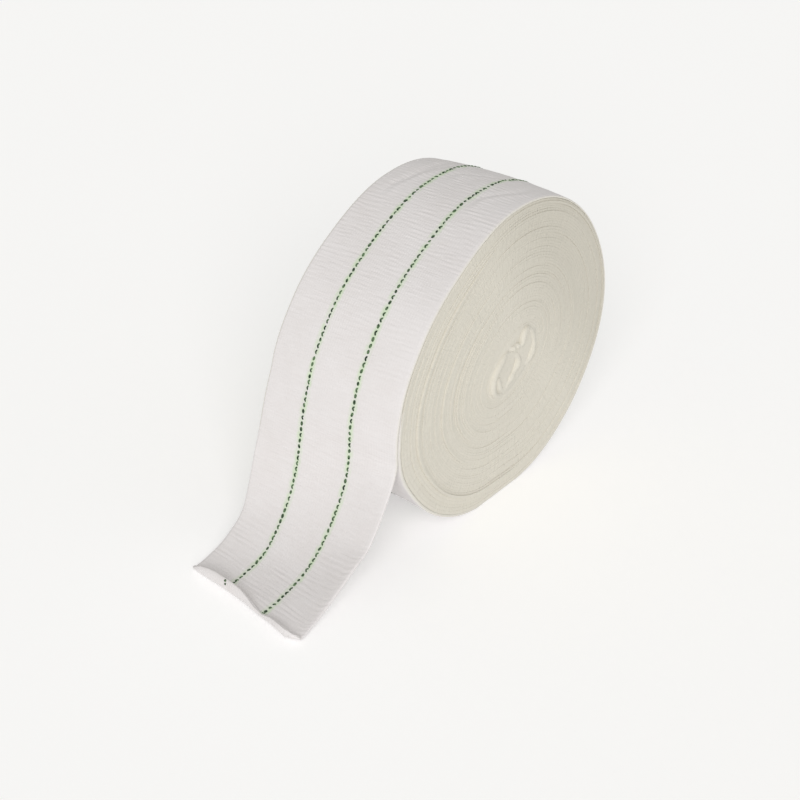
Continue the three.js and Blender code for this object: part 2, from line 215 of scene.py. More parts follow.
# The cut end rolls up and back, least at its corners and where the second line crosses it.
CURL = [
    dict(x=-25.0, radius=1.0, turn=85),
    dict(x=-21.0, radius=1.7, turn=130),
    dict(x=-16.0, radius=2.2, turn=140),
    dict(x=-9.0, radius=2.3, turn=140),
    dict(x=-2.0, radius=2.0, turn=145),
    dict(x=3.0, radius=1.5, turn=130),
    dict(x=8.6, radius=1.0, turn=110),
    dict(x=13.0, radius=1.7, turn=125),
    dict(x=19.0, radius=2.2, turn=130),
    dict(x=23.0, radius=2.1, turn=122),
    dict(x=25.0, radius=1.9, turn=78),
]
# How far the rolled end's foot reaches past the last section.
FOOT_REACH_FAR = 1.15
FOOT_REACH_MIDDLE = 1.8
FOOT_REACH_NEAR = 1.55
# Soft creases of the outer turn, each from one place to another.
CREASES = [
    dict(x=-18.7, angle=93, to_x=-11.8, to_angle=71, depth=0.35, wide=1.0),
    dict(x=-17.0, angle=84, to_x=-14.5, to_angle=66, depth=0.35, wide=1.2),
    dict(x=10.6, angle=88, to_x=18.5, to_angle=76, depth=0.35, wide=1.2),
    dict(x=-6.0, angle=76, to_x=9.0, to_angle=68, depth=0.25, wide=1.5),
]
NEAR_CORNER_RADIUS = 3.4
FAR_CORNER_RADIUS = 0.8
NEAR_FLARE = 0.6
MOUTH_BULGE_START = 0.62
MOUTH_DEPTH = 6.0
RIM_ROUNDING = 0.12
LOOSE_CLEARANCE = 0.1
# Degrees before leaving where the loose end's curves take over from the outer turn.
LEAD_ANGLES = (14.0, 7.0, 0.0)
# Crosswise ripples of the outer tape: their pitch and run down it, their width across it, and their
# height everywhere, with what is added on top of the roll and towards the cut end.
RIPPLES = [
    dict(seed=5, pitch=1.5, run=0.9, wide=1.2, height=0.045, on_top=0.045, near_end=0.02),
    dict(seed=6, pitch=1.8, run=1.6, wide=3.5, height=0.015, on_top=0.02, near_end=0.09),
]
RIPPLE_SPREAD = 1.6
TOP_ANGLE = 100
TOP_SPAN = 35
NEAR_END_START = 0.35
NEAR_END_FADE = 0.4
CREASE_END_FADE = 6

# The knit's looks, as colour and bump. A grain is in patches a metre: along the tape, across it and
# off it, or the same every way. A relief is the height of a bump.
KNIT_ROW_PITCH = 0.75
KNIT_COLUMN_PITCH = 0.9
RIB_GRAIN = (950.0, 130.0, 1.0)
FUZZ_GRAIN = (2600.0, 2200.0, 1.0)
MOTTLE_GRAIN = (40.0, 60.0, 1.0)
HALO_GRAIN = (260.0, 500.0, 1.0)
YARN_PATCH_GRAIN = 700.0
YARN_FIBRE_GRAIN = 5000.0
LOOP_RELIEF = 0.04
RIB_RELIEF = 0.35
FUZZ_RELIEF = 0.1
HATCH_RELIEF = 0.5
FIBRE_RELIEF = 0.1
# The side face's hatching: distance and length of its lines, and the radii that its bands suit.
HATCH_PITCH = 0.75
HATCH_LENGTH = 3.5
HATCH_BANDS = [12, 17, 24, 33, 43, 54]
HATCH_START = 9
HATCH_FULL = 14
# Painted shade: the wound turns grow greyer towards the roll's back and top, by a mix of y and z, for
# the side face's shading there.
PAINTED_SHADE_BY_Y = 0.8
PAINTED_SHADE_BY_Z = 0.6
PAINTED_SHADE_START = 40
PAINTED_SHADE_FULL = 66
PAINTED_SHADE_MOST = 0.95
# The outer turn's near fold has the side face's colour, its own cream with painted shade: from here
# across, up to here along.
EDGE_TINT_START = 24.4
EDGE_TINT_END = 362
EDGE_TINT_FADE = 8
# The pale green cast beside a line.
HALO_START = 0.5
HALO_END = 1.7
# Display colours, from 0 to 255.
# The wound turns' colours are the cloth's own cream tint, made darker than the loose tape's as painted
# shade for the knit's self-shadowing on the side faces.
WOUND_LIGHT = (219, 215, 204)
WOUND_DARK = (210, 206, 194)
WOUND_PAINTED_SHADE = (201, 197, 185)
LOOSE_LIGHT = (228, 225, 225)
LOOSE_DARK = (222, 218, 217)
EDGE_TINT = (217, 214, 205)
HALO_GREEN = (203, 220, 190)
YARN_DARK = (44, 60, 46)
YARN_LIGHT = (98, 124, 90)

# Both lines, each up to a gap before the tape's end, and the stitches in them.
LINES = [
    dict(x=FIRST_LINE_X, end_gap=4.6),
    dict(x=SECOND_LINE_X, end_gap=0.3),
]
LINE_START = 1.0
LINE_SAMPLES = 400
LINE_WANDER = 0.15
LINE_WANDER_SPACING = 9.0
LINE_WANDER_SEED = 41
STITCH_SEED = 9
STITCH_PITCH = 1.98
STITCH_PITCH_SPREAD = (0.92, 1.08)
STITCH_HEIGHT = 0.24
STITCH_SIZES = (0.68, 1.15)
STITCH_BOLDNESS = (0.35, 0.8)
PLAIN_STITCH = dict(long=0.80, wide=0.50, turn=0.3)
SPLIT_STITCH = dict(long=0.62, wide=0.33, turns=(0.45, 0.8), apart=0.32)
SPLIT_SHARE = 0.55
# Up to this far before the tape leaves the roll, bold and slight stitches mostly take turns.
REGULAR_BEFORE_LEAVING = 60
REGULAR_FADE = 30
REGULAR_SHARE = 0.75
# Loose ends of the first line's yarn on the turned lip.
YARN_ENDS = [
    dict(x=-8.6, y=-99.8, z=5.1, size=0.42),
    dict(x=-8.2, y=-100.3, z=4.3, size=0.36),
]

# How finely the cloth is made.
ROWS_A_TURN = 90
FOLD_ROW_STEP = 0.5
TAPE_ROW_STEP = 0.42
TAPE_COLUMNS = 50
UNDER_COLUMNS = 14
LINING_ROWS = 3
LINE_POINTS = 600
FOLD_TURNS = (52, 18, -18, -52)
FOLD_WRAP = 0.3
FOLD_ROUNDING = 0.5
WOUND_FILL = 0.995

# The photographer's view.
CAMERA_PLACE = (321.564, -442.812, 347.520)
CAMERA_AZIMUTH = 37.5
CAMERA_ELEVATION = 30.5
SENSOR = 36.0
LENS = 86.05

# The studio's light, as what a white surface facing it would send back.
SKY_STRENGTH = 0.51
SKY_COLOUR = (1.0, 1.0, 0.97, 1)
KEY_STRENGTH = 0.53
KEY_COLOUR = (1.0, 0.98, 0.98)
KEY_SPREAD = 40
FLOOR_GREY = 0.93
FLOOR_GLOW = 0.20
FLOOR_REACH = 6000.0
FLOOR_DROP = 0.2


def smooth_step(share):
    share = np.clip(share, 0.0, 1.0)
    return share * share * (3 - 2 * share)


def blend(start, end, share):
    return start + (end - start) * share


def column(rows, name):
    return np.array([row[name] for row in rows], float)


def through(at, values, where):
    """A smooth curve through values known at some places, read at other places."""
    at, values, where = (np.asarray(a, float) for a in (at, values, where))
    slopes = np.gradient(values, at, axis=0) if len(at) > 2 else np.zeros_like(values)
    spans = (at[2:] - at[:-2]).reshape((-1,) + (1,) * (values.ndim - 1))
    slopes[1:-1] = (values[2:] - values[:-2]) / spans
    index = np.clip(np.searchsorted(at, where, side="right") - 1, 0, len(at) - 2)
    span = at[index + 1] - at[index]
    share = (where - at[index]) / span
    squared, cubed = share**2, share**3
    wide = [slice(None)] * where.ndim + [None] * (values.ndim - 1)
    span, share, squared, cubed = (a[tuple(wide)] for a in (span, share, squared, cubed))
    return (
        values[index] * (2 * cubed - 3 * squared + 1)
        + slopes[index] * span * (cubed - 2 * squared + share)
        + values[index + 1] * (3 * squared - 2 * cubed)
        + slopes[index + 1] * span * (cubed - squared)
    )


def along_outline(theta, name):
    """One column of the outline's table at any angle in radians, closed on itself."""
    at, values = column(OUTLINE, "angle"), column(OUTLINE, name)
    at = np.concatenate([at[-2:] - 360, at, at[:3] + 360])
    values = np.concatenate([values[-2:], values, values[:3]])
    return through(at, values, np.degrees(theta) % 360)


def rise_over_outline(theta, x):
    """How far the tape stands out from the outline, at angles down and places across."""
    crown = along_outline(theta, "crown") * (1 - (2 * x / CLOTH_WIDTH) ** 2)
    return crown + along_outline(theta, "far") * (0.5 - x / CLOTH_WIDTH)


def on_outline(theta, outward=0.0):
    radius = along_outline(theta, "radius") + outward
    height = np.maximum(0, AXIS_HEIGHT + radius * np.sin(theta))
    return np.stack([radius * np.cos(theta), height], -1)


def on_core(theta):
    lean = math.radians(CORE_LEAN)
    along = CORE_LONG / 2 * np.cos(theta - lean)
    across = CORE_SHORT / 2 * np.sin(theta - lean)
    y = CORE_Y + along * math.cos(lean) - across * math.sin(lean)
    z = CORE_Z + along * math.sin(lean) + across * math.cos(lean)
    return np.stack([y, z], -1)


def ring_value(share, name):
    return np.interp(share, column(SIDE_RINGS, "share"), column(SIDE_RINGS, name))


def share_of(depth):
    return 1 - (1 - FIRST_TURN_SHARE) * depth / TURNS


def in_roll(theta, depth, outward=0.0):
    """A point (y, z) of the roll's section: depth counts turns in from the outline."""
    share = share_of(depth)
    share = share + ring_value(share, "slack") * np.cos(theta)
    core = on_core(theta)
    return core + (on_outline(theta, outward) - core) * share[..., None]


def depth_at(turns_back):
    """How many turns lie over the tape, this many turns before it leaves the roll."""
    whole = np.floor(turns_back)
    gone = 1 - (turns_back - whole)
    sharp = 1 - smooth_step(gone * 360 / STEP_SPAN)
    even = 1 - gone
    return whole + blend(sharp, even, smooth_step(whole / STEP_FADE_TURNS))


def angle_at(turns_back):
    return np.radians(LEAVING_ANGLE - 360 * turns_back)


def spiral(turns_back):
    """Middle (y, z) and thickness of the wound tape."""
    theta = angle_at(turns_back)
    outer, inner = in_roll(theta, depth_at(turns_back)), in_roll(theta, depth_at(turns_back + 1))
    gap = outer - inner
    return (outer + inner) / 2, WOUND_FILL * np.hypot(gap[..., 0], gap[..., 1])


def lengths_along(points):
    steps = np.linalg.norm(np.diff(points, axis=0), axis=-1)
    return np.concatenate([np.zeros((1,) + steps.shape[1:]), np.cumsum(steps, axis=0)])


def slow_noise(length, spacing, seed):
    """A smooth random line along a length, with a new height at every spacing."""
    random = np.random.default_rng(seed)
    count = int(length.max() / spacing) + 4
    return through(np.arange(count) * spacing, random.uniform(-1, 1, count), length)


def build_mesh(name, points, faces, uvs=None, smooth=True):
    """A mesh object from points in millimetres. uvs has one pair for each face corner."""
    mesh = bpy.data.meshes.new(name)
    mesh.from_pydata((np.asarray(points) * MM).tolist(), [], faces)
    if uvs is not None:
        layer = mesh.uv_layers.new(name="cloth")
        layer.data.foreach_set("uv", np.asarray(uvs, np.float32).ravel())
    mesh.polygons.foreach_set("use_smooth", [smooth] * len(mesh.polygons))
    mesh.update()
    made = bpy.data.objects.new(name, mesh)
    bpy.context.scene.collection.objects.link(made)
    return made


def tube_faces(rings, round_count):
    """Quads between successive rings, closed round each ring, and the two end caps."""
    row = np.arange(rings - 1)[:, None] * round_count
    here = np.arange(round_count)[None, :]
    after = (here + 1) % round_count
    quads = np.stack([row + here, row + round_count + here, row + round_count + after, row + after], -1)
    faces = quads.reshape(-1, 4).tolist()
    faces.append(list(range(round_count)))
    last = (rings - 1) * round_count
    faces.append(list(range(last, last + round_count))[::-1])
    return faces


def tube_uvs(along, around):
    """Cloth coordinates in metres for tube_faces: along the tape, and round its section."""
    rings, round_count = len(along), len(around) - 1
    u = np.asarray(along) * MM
    v = np.asarray(around) * MM
    low_u = np.repeat(u[:-1, None], round_count, 1)
    high_u = np.repeat(u[1:, None], round_count, 1)
    low_v = np.repeat(v[None, :-1], rings - 1, 0)
    high_v = np.repeat(v[None, 1:], rings - 1, 0)
    corners = [(low_u, low_v), (high_u, low_v), (high_u, high_v), (low_u, high_v)]
    quads = np.stack([np.stack(pair, -1) for pair in corners], -2).reshape(-1, 2)
    start = np.stack([np.full(round_count, u[0]), v[:-1]], -1)
    end = np.stack([np.full(round_count, u[-1]), v[:-1][::-1]], -1)
    return np.concatenate([quads, start, end])


# Cloth, stitches and yarn materials.


def node(tree, kind, **values):
    made = tree.nodes.new(kind)
    for name, value in values.items():
        setattr(made, name, value)
    return made


def feed(tree, socket, value):
    """Gives a socket a plain value, or links it to another node's output."""
    if isinstance(value, bpy.types.NodeSocket):
        tree.links.new(value, socket)
    elif value is not None:
        socket.default_value = value


def math_node(tree, operation, *values):
    made = node(tree, "ShaderNodeMath", operation=operation)
    for socket, value in zip(made.inputs, values):
        feed(tree, socket, value)
    return made.outputs[0]


def vector_node(tree, operation, *values):
    made = node(tree, "ShaderNodeVectorMath", operation=operation)
    for socket, value in zip(made.inputs, values):
        feed(tree, socket, value)
    return made


def noise(tree, vector, scale, detail=2.0, roughness=0.5):
    made = node(tree, "ShaderNodeTexNoise")
    inputs = dict(Vector=vector, Scale=scale, Detail=detail, Roughness=roughness)
    for name, value in inputs.items():
        feed(tree, made.inputs[name], value)
    return made.outputs["Fac"]


def grain(tree, vector, scales, detail, roughness=0.5):
    """Noise with its own scale in each direction of the cloth."""
    stretched = node(tree, "ShaderNodeMapping")
    feed(tree, stretched.inputs["Scale"], scales)
    feed(tree, stretched.inputs["Vector"], vector)
    return noise(tree, stretched.outputs["Vector"], 1.0, detail, roughness)


def remap(tree, value, low, high, new_low, new_high):
    made = node(tree, "ShaderNodeMapRange", clamp=True)
    names = ("Value", "From Min", "From Max", "To Min", "To Max")
    for name, given in zip(names, (value, low, high, new_low, new_high)):
        feed(tree, made.inputs[name], given)
    return made.outputs["Result"]


def mix_colour(tree, share, first, second):
    made = node(tree, "ShaderNodeMix", data_type="RGBA")
    feed(tree, made.inputs[0], share)
    colours = [socket for socket in made.inputs if socket.type == "RGBA"]
    for socket, value in zip(colours, (first, second)):
        feed(tree, socket, value)
    return [socket for socket in made.outputs if socket.type == "RGBA"][0]


def bump(tree, height, relief, strength, before=None):
    """A bumped normal. The relief is how high the bump stands, in millimetres."""
    made = node(tree, "ShaderNodeBump")
    inputs = dict(Height=height, Distance=relief * MM, Strength=strength, Normal=before)
    for name, value in inputs.items():
        feed(tree, made.inputs[name], value)
    return made.outputs["Normal"]


def srgb(red, green, blue):
    """A display colour from 0 to 255 as the linear colour that a shader takes."""
    linear = []
    for part in (red, green, blue):
        part = part / 255
        linear.append(part / 12.92 if part <= 0.04045 else ((part + 0.055) / 1.055) ** 2.4)
    return (*linear, 1.0)


def matte(name, roughness, specular):
    """A new material with its node tree and its shader."""
    material = bpy.data.materials.new(name)
    material.use_nodes = True
    shader = material.node_tree.nodes["Principled BSDF"]
    shader.inputs["Roughness"].default_value = roughness
    shader.inputs["Specular IOR Level"].default_value = specular
    return material, material.node_tree, shader


def object_place(tree):
    return node(tree, "ShaderNodeTexCoord").outputs["Object"]


def waves(tree, value, pitch):
    return math_node(tree, "SINE", math_node(tree, "MULTIPLY", value, 2 * math.pi / (pitch * MM)))


def cloth_material(name, light, dark, halo=None, hatched=False, edge=None, painted_shade=None):
    """Knitted cotton: fine crosswise ribs and loops, with soft changes of colour, and painted shade
    where it is given.
    """
    material, tree, shader = matte(name, 0.92, 0.25)
    shader.inputs["Sheen Weight"].default_value = 0.12
    shader.inputs["Sheen Roughness"].default_value = 0.5
    cloth = node(tree, "ShaderNodeUVMap", uv_map="cloth").outputs["UV"]
    parts = node(tree, "ShaderNodeSeparateXYZ")
    feed(tree, parts.inputs[0], cloth)
    along, across = parts.outputs["X"], parts.outputs["Y"]

    columns = waves(tree, across, KNIT_COLUMN_PITCH)
    loops = math_node(tree, "MULTIPLY_ADD", waves(tree, along, KNIT_ROW_PITCH), 0.5, columns)
    ribs = grain(tree, cloth, RIB_GRAIN, 3.0, 0.6)
    fuzz = grain(tree, cloth, FUZZ_GRAIN, 2.0, 0.7)
    mottle = grain(tree, cloth, MOTTLE_GRAIN, 3.0, 0.6)
    normal = bump(tree, loops, LOOP_RELIEF, 0.35)
    normal = bump(tree, ribs, RIB_RELIEF, 0.6, normal)
    normal = bump(tree, fuzz, FUZZ_RELIEF, 0.4, normal)
    rib_shade = remap(tree, ribs, 0.3, 0.7, 0.0, 0.5)
    shade = math_node(tree, "MULTIPLY_ADD", remap(tree, mottle, 0.35, 0.65, 0.0, 1.0), 0.5, rib_shade)
    if hatched:
        lines = hatching(tree)
        normal = bump(tree, lines, HATCH_RELIEF, 0.5, normal)
        half_lines = math_node(tree, "MULTIPLY", lines, 0.5)
        shade = math_node(tree, "MULTIPLY_ADD", shade, 0.5, half_lines)
    feed(tree, shader.inputs["Normal"], normal)

    colour = mix_colour(tree, shade, dark, light)
    # Painted shade: the colour is mixed towards a darker grey towards the roll's back and top, where
    # the side face lies in shade.
    if painted_shade is not None:
        place = node(tree, "ShaderNodeSeparateXYZ")
        feed(tree, place.inputs[0], object_place(tree))
        upward = math_node(tree, "MULTIPLY", place.outputs["Z"], PAINTED_SHADE_BY_Z)
        behind = math_node(tree, "MULTIPLY_ADD", place.outputs["Y"], PAINTED_SHADE_BY_Y, upward)
        share = remap(tree, behind, PAINTED_SHADE_START * MM, PAINTED_SHADE_FULL * MM, 0.0, PAINTED_SHADE_MOST)
        colour = mix_colour(tree, share, colour, painted_shade)
    if edge is not None:
        folded = remap(tree, across, EDGE_TINT_START * MM, CLOTH_WIDTH / 2 * MM, 0.0, 1.0)
        fade_start = (EDGE_TINT_END - EDGE_TINT_FADE) * MM
        wound = remap(tree, along, fade_start, EDGE_TINT_END * MM, 1.0, 0.0)
        colour = mix_colour(tree, math_node(tree, "MULTIPLY", folded, wound), colour, edge)
    if halo is not None:
        patchy = remap(tree, grain(tree, cloth, HALO_GRAIN, 2.0), 0.38, 0.6, 0.1, 0.9)
        for line in LINES:
            off = math_node(tree, "ABSOLUTE", math_node(tree, "SUBTRACT", across, line["x"] * MM))
            near = remap(tree, off, HALO_START * MM, HALO_END * MM, 1.0, 0.0)
            colour = mix_colour(tree, math_node(tree, "MULTIPLY", near, patchy), colour, halo)
    feed(tree, shader.inputs["Base Color"], colour)
    return material


def hatching(tree):
    """Fine lines on the side faces, out from the core, about as far apart at every radius."""
    centre = (0, CORE_Y * MM, CORE_Z * MM)
    shifted = vector_node(tree, "SUBTRACT", object_place(tree), centre).outputs[0]
    flat = vector_node(tree, "MULTIPLY", shifted, (0, 1, 1)).outputs[0]
    radius = vector_node(tree, "LENGTH", flat).outputs["Value"]
    unit = vector_node(tree, "NORMALIZE", flat).outputs[0]
    drift = node(tree, "ShaderNodeCombineXYZ")
    feed(tree, drift.inputs[0], math_node(tree, "MULTIPLY", radius, 1 / (HATCH_LENGTH * MM)))
    made = None
    for band, middle in enumerate(HATCH_BANDS):
        around = vector_node(tree, "SCALE", unit)
        around.inputs["Scale"].default_value = middle / HATCH_PITCH
        place = vector_node(tree, "ADD", around.outputs[0], drift.outputs[0]).outputs[0]
        lines = noise(tree, place, 1.0, 1.0)
        if made is None:
            made = lines
            continue
        edge = math.sqrt(middle * HATCH_BANDS[band - 1])
        mixed = node(tree, "ShaderNodeMix", data_type="FLOAT")
        feed(tree, mixed.inputs[0], remap(tree, radius, (edge - 1) * MM, (edge + 1) * MM, 0.0, 1.0))
        feed(tree, mixed.inputs[2], made)
        feed(tree, mixed.inputs[3], lines)
        made = mixed.outputs[0]
    fade = remap(tree, radius, HATCH_START * MM, HATCH_FULL * MM, 0.0, 1.0)
    return math_node(tree, "MULTIPLY_ADD", math_node(tree, "SUBTRACT", made, 0.5), fade, 0.5)


def yarn_material():
    material, tree, shader = matte("green_yarn", 0.8, 0.2)
    place = object_place(tree)
    patches = remap(tree, noise(tree, place, YARN_PATCH_GRAIN), 0.4, 0.6, 0.0, 1.0)
    fibres = noise(tree, place, YARN_FIBRE_GRAIN)
    colour = mix_colour(tree, patches, srgb(*YARN_DARK), srgb(*YARN_LIGHT))
    feed(tree, shader.inputs["Base Color"], colour)
    feed(tree, shader.inputs["Normal"], bump(tree, fibres, FIBRE_RELIEF, 0.6))
    return material


# The camera comes first.


def add_camera():
    azimuth, elevation = math.radians(CAMERA_AZIMUTH), math.radians(CAMERA_ELEVATION)
    back = Vector((
        math.sin(azimuth) * math.cos(elevation),
        -math.cos(azimuth) * math.cos(elevation),
        math.sin(elevation),
    ))
    data = bpy.data.cameras.new("camera")
    data.sensor_width = SENSOR
    data.lens = LENS
    camera = bpy.data.objects.new("camera", data)
    camera.location = [x * MM for x in CAMERA_PLACE]
    camera.rotation_mode = "QUATERNION"
    camera.rotation_quaternion = (-back).to_track_quat("-Z", "Y")
    bpy.context.scene.collection.objects.link(camera)
    bpy.context.scene.camera = camera
    return back


# The wound turns, one ribbon from the folded start to a turn short of where the tape leaves.


def wound_path():
    """Rows of the ribbon: its middle, thickness, stand over the face, length and turns back."""
    back = np.linspace(TURNS, 1, (TURNS - 1) * ROWS_A_TURN + 1)
    back = np.concatenate([back, 1 - np.arange(1, OVERLAP_ROWS + 1) / ROWS_A_TURN])
    middle, thick = spiral(back)
    untapered = smooth_step((back - (1 - TAPERED_TURNS)) / TAPERED_TURNS)
    thick = thick * blend(TAPERED_THICKNESS, 1.0, untapered)
    stand = ring_value(share_of(depth_at(back)), "stand")
    wound = np.column_stack([middle, thick, stand])
    fold = np.stack([column(CORE_FOLD, name) for name in ("y", "z", "thick", "stand")], -1)
    joined = np.concatenate([fold, wound[:6:2]])
    places = lengths_along(joined[:, :2])
    fold_end = places[len(fold)] - FOLD_ROW_STEP / 2
    start = through(places, joined, np.arange(0, fold_end, FOLD_ROW_STEP))
    rows = np.concatenate([start, wound])
    length = lengths_along(rows[:, :2])
    back = np.concatenate([np.full(len(start), float(TURNS)), back])
    folded = np.concatenate([np.ones(len(start)), np.zeros(len(wound))])
    return SimpleNamespace(
        middle=rows[:, :2], thick=rows[:, 2], stand=rows[:, 3], length=length, back=back, folded=folded,
    )


def proud_turns(depth, theta):
    """Extra stand of single turns."""
    degrees = np.degrees(theta) % 360
    extra = np.zeros_like(depth)
    for turn in PROUD_TURNS:
        centre, reach = (turn["first"] + turn["last"]) / 2, (turn["last"] - turn["first"]) / 2
        away = np.abs((degrees - centre + 180) % 360 - 180)
        fade = smooth_step((reach - away) / PROUD_FADE)
        extra += turn["stand"] * fade * np.exp(-(((depth - turn["turn"]) / PROUD_SPREAD) ** 2))
    return extra


def core_bed():
    """The cloth packed behind the folds: a low closed shell inside the first turn."""
    theta = np.radians(np.arange(0, 360, CORE_BED_STEP))
    rim = in_roll(theta, np.full(theta.shape, float(TURNS)))
    centre = np.array([CORE_Y, CORE_Z])
    random = np.random.default_rng(3)
    points, count = [], len(theta)
    shares = CORE_BED_SHARES
    for side in (1, -1):
        points.append([side * (CLOTH_WIDTH / 2 + CORE_BED_STAND), *centre])
        for share in shares:
            for place in centre + (rim - centre) * share:
                stand = -CORE_BED_SUNK_RIM
                if share < 1:
                    stand = CORE_BED_STAND + random.uniform(-CORE_BED_LUMPS, CORE_BED_LUMPS)
                points.append([side * (CLOTH_WIDTH / 2 + stand), *place])
    faces = []
    half = 1 + count * len(shares)
    for base, flip in ((0, False), (half, True)):
        cap = []
        for here in range(count):
            after = (here + 1) % count
            cap.append((base, base + 1 + here, base + 1 + after))
            for ring in range(len(shares) - 1):
                low = base + 1 + ring * count
                cap.append((low + here, low + count + here, low + count + after, low + after))
        faces += [face[::-1] for face in cap] if flip else cap
    outer = 1 + count * (len(shares) - 1)
    for here in range(count):
        after = (here + 1) % count
        faces.append((outer + here, half + outer + here, half + outer + after, outer + after))
    points = np.array(points)
    uvs = [points[corner, 1:] * MM for face in faces for corner in face]
    return points, faces, np.array(uvs)


def wave(length, row, side):
    return row["height"] * slow_noise(length, row["spacing"], row["seed"] + side)


def build_wound_turns():
    path = wound_path()
    middle = path.middle
    tangent = np.gradient(middle, path.length, axis=0)
    tangent /= np.linalg.norm(tangent, axis=1)[:, None]
    outward = np.stack([tangent[:, 1], -tangent[:, 0]], -1)
    depth, theta = depth_at(path.back), angle_at(path.back)
    share = share_of(depth)
    under_outline = np.clip((share - 1 + CROWN_FADE_SHARE) / CROWN_FADE_SHARE, 0, 1) * (1 - path.folded)
    crown = (along_outline(theta, "crown") + along_outline(theta, "far") / 2) * under_outline
    far_rise = along_outline(theta, "far") * under_outline
    proud = proud_turns(depth, theta) * (1 - path.folded)
    stands = []
    for side in (1, -1):
        wander = sum(wave(path.length, row, side) for row in TURN_WAVES)
        lumps = wave(path.length, CORE_WAVE, side)
        settled = smooth_step((path.back - 1) / SETTLED_TURNS)
        stands.append(path.stand + settled * (proud + blend(wander, lumps, path.folded)))
    near, far = stands
    full = 0.5 * path.thick
    rounding = TURN_EDGE_ROUNDING + full * path.folded * smooth_step((path.stand - 0.2) / 0.8)
    bevel = blend(np.minimum(TURN_EDGE_WIDTH / full, 1), 1.0, path.folded)

    # Round the section: down the near edge, back under the turn and up the far edge.
    upper = [(point["inset"], 1 - point["sink"], 1 - point["sink"] * bevel) for point in EDGE_SECTION]
    lower = [(inset, -wrap, -rise) for inset, wrap, rise in upper[::-1]]
    edge = [*upper, (0.0, 0.0, 0.0), *lower]
    half = CLOTH_WIDTH / 2
    rings, around = [], []

    def add(x, rise, raised, at):
        place = middle + outward * (rise * full + raised)[:, None]
        rings.append(np.column_stack([np.broadcast_to(x, path.thick.shape), place]))
        around.append(at)

    nothing = np.zeros_like(crown)
    add(0.0, 1.0, crown, 0.0)
    for inset, wrap, rise in edge:
        add(half + near - inset * rounding, rise, nothing, half - EDGE_WRAP * wrap)
    add(0.0, -1.0, crown, CLOTH_WIDTH)
    for inset, wrap, rise in edge[::-1]:
        add(-(half + far - inset * rounding), rise, far_rise, 3 * half - EDGE_WRAP * wrap)
    around.append(2 * CLOTH_WIDTH)
    points = np.stack(rings, 1)
    count = points.shape[1]
    bed_points, bed_faces, bed_uvs = core_bed()
    faces = tube_faces(len(points), count)
    faces += [tuple(corner + len(points) * count for corner in face) for face in bed_faces]
    made = build_mesh(
        "wound_turns",
        np.concatenate([points.reshape(-1, 3), bed_points]),
        faces,
        np.concatenate([tube_uvs(path.length, around), bed_uvs]),
    )
    return made


# The outer turn and the loose end, one finer length of tape.


def corner_cut(x):
    """How much shorter the tape is beside its rounded corners."""
    cut = 0.0
    for distance, radius in (
        (CLOTH_WIDTH / 2 - x, NEAR_CORNER_RADIUS),
        (CLOTH_WIDTH / 2 + x, FAR_CORNER_RADIUS),
    ):
        inside = np.maximum(0, radius - distance)
        cut = cut + radius - np.sqrt(radius**2 - inside**2)
    return cut


def across_width(x, far, middle, near):
    place = x / CLOTH_WIDTH + 0.5
    hump = np.sin(math.pi * place) ** 2
    return blend(blend(far, near, place), middle, hump)


def clear_of_roll(points, gap):
    """Moves points outwards until they clear the turn below by this much."""
    y, z = points[..., 1], points[..., 2] - AXIS_HEIGHT
    theta = np.arctan2(z, y)
    past = (np.degrees(theta) % 360 - LEAVING_ANGLE) / 360
    depth = np.where(past > 0, depth_at(1 - np.clip(past, 1e-6, 1)), 0.0)
    below = in_roll(theta, depth)
    radius = np.hypot(below[..., 0], below[..., 1] - AXIS_HEIGHT)
    rise = np.maximum(0, rise_over_outline(theta, points[..., 0]))
    moved = np.maximum(np.hypot(y, z), radius + rise + gap)
    made = points.copy()
    made[..., 1] = moved * np.cos(theta)
    made[..., 2] = AXIS_HEIGHT + moved * np.sin(theta)
    return made


def outer_turn_middle(x, back):
    """Middle points of the outer turn at these places across and turns back, and its thickness."""
    theta = angle_at(back)
    outer, inner = in_roll(theta, depth_at(back)), in_roll(theta, depth_at(back + 1))
    gap = np.linalg.norm(outer - inner, axis=-1)
    leaving = smooth_step(1 - back * 360 / LEAVING_FADE)
    thick = blend(WOUND_FILL * gap, CLOTH_THICKNESS, leaving)
    inwards = (inner - outer) / gap[:, None]
    rise = rise_over_outline(theta[:, None], x[None, :])
    radial = np.stack([np.cos(theta), np.sin(theta)], -1)
    level = (outer + inwards * (thick / 2)[:, None])[:, None, :]
    place = level + radial[:, None, :] * rise[..., None]
    points = np.concatenate([np.broadcast_to(x[None, :, None], place.shape[:2] + (1,)), place], -1)
    return points, thick


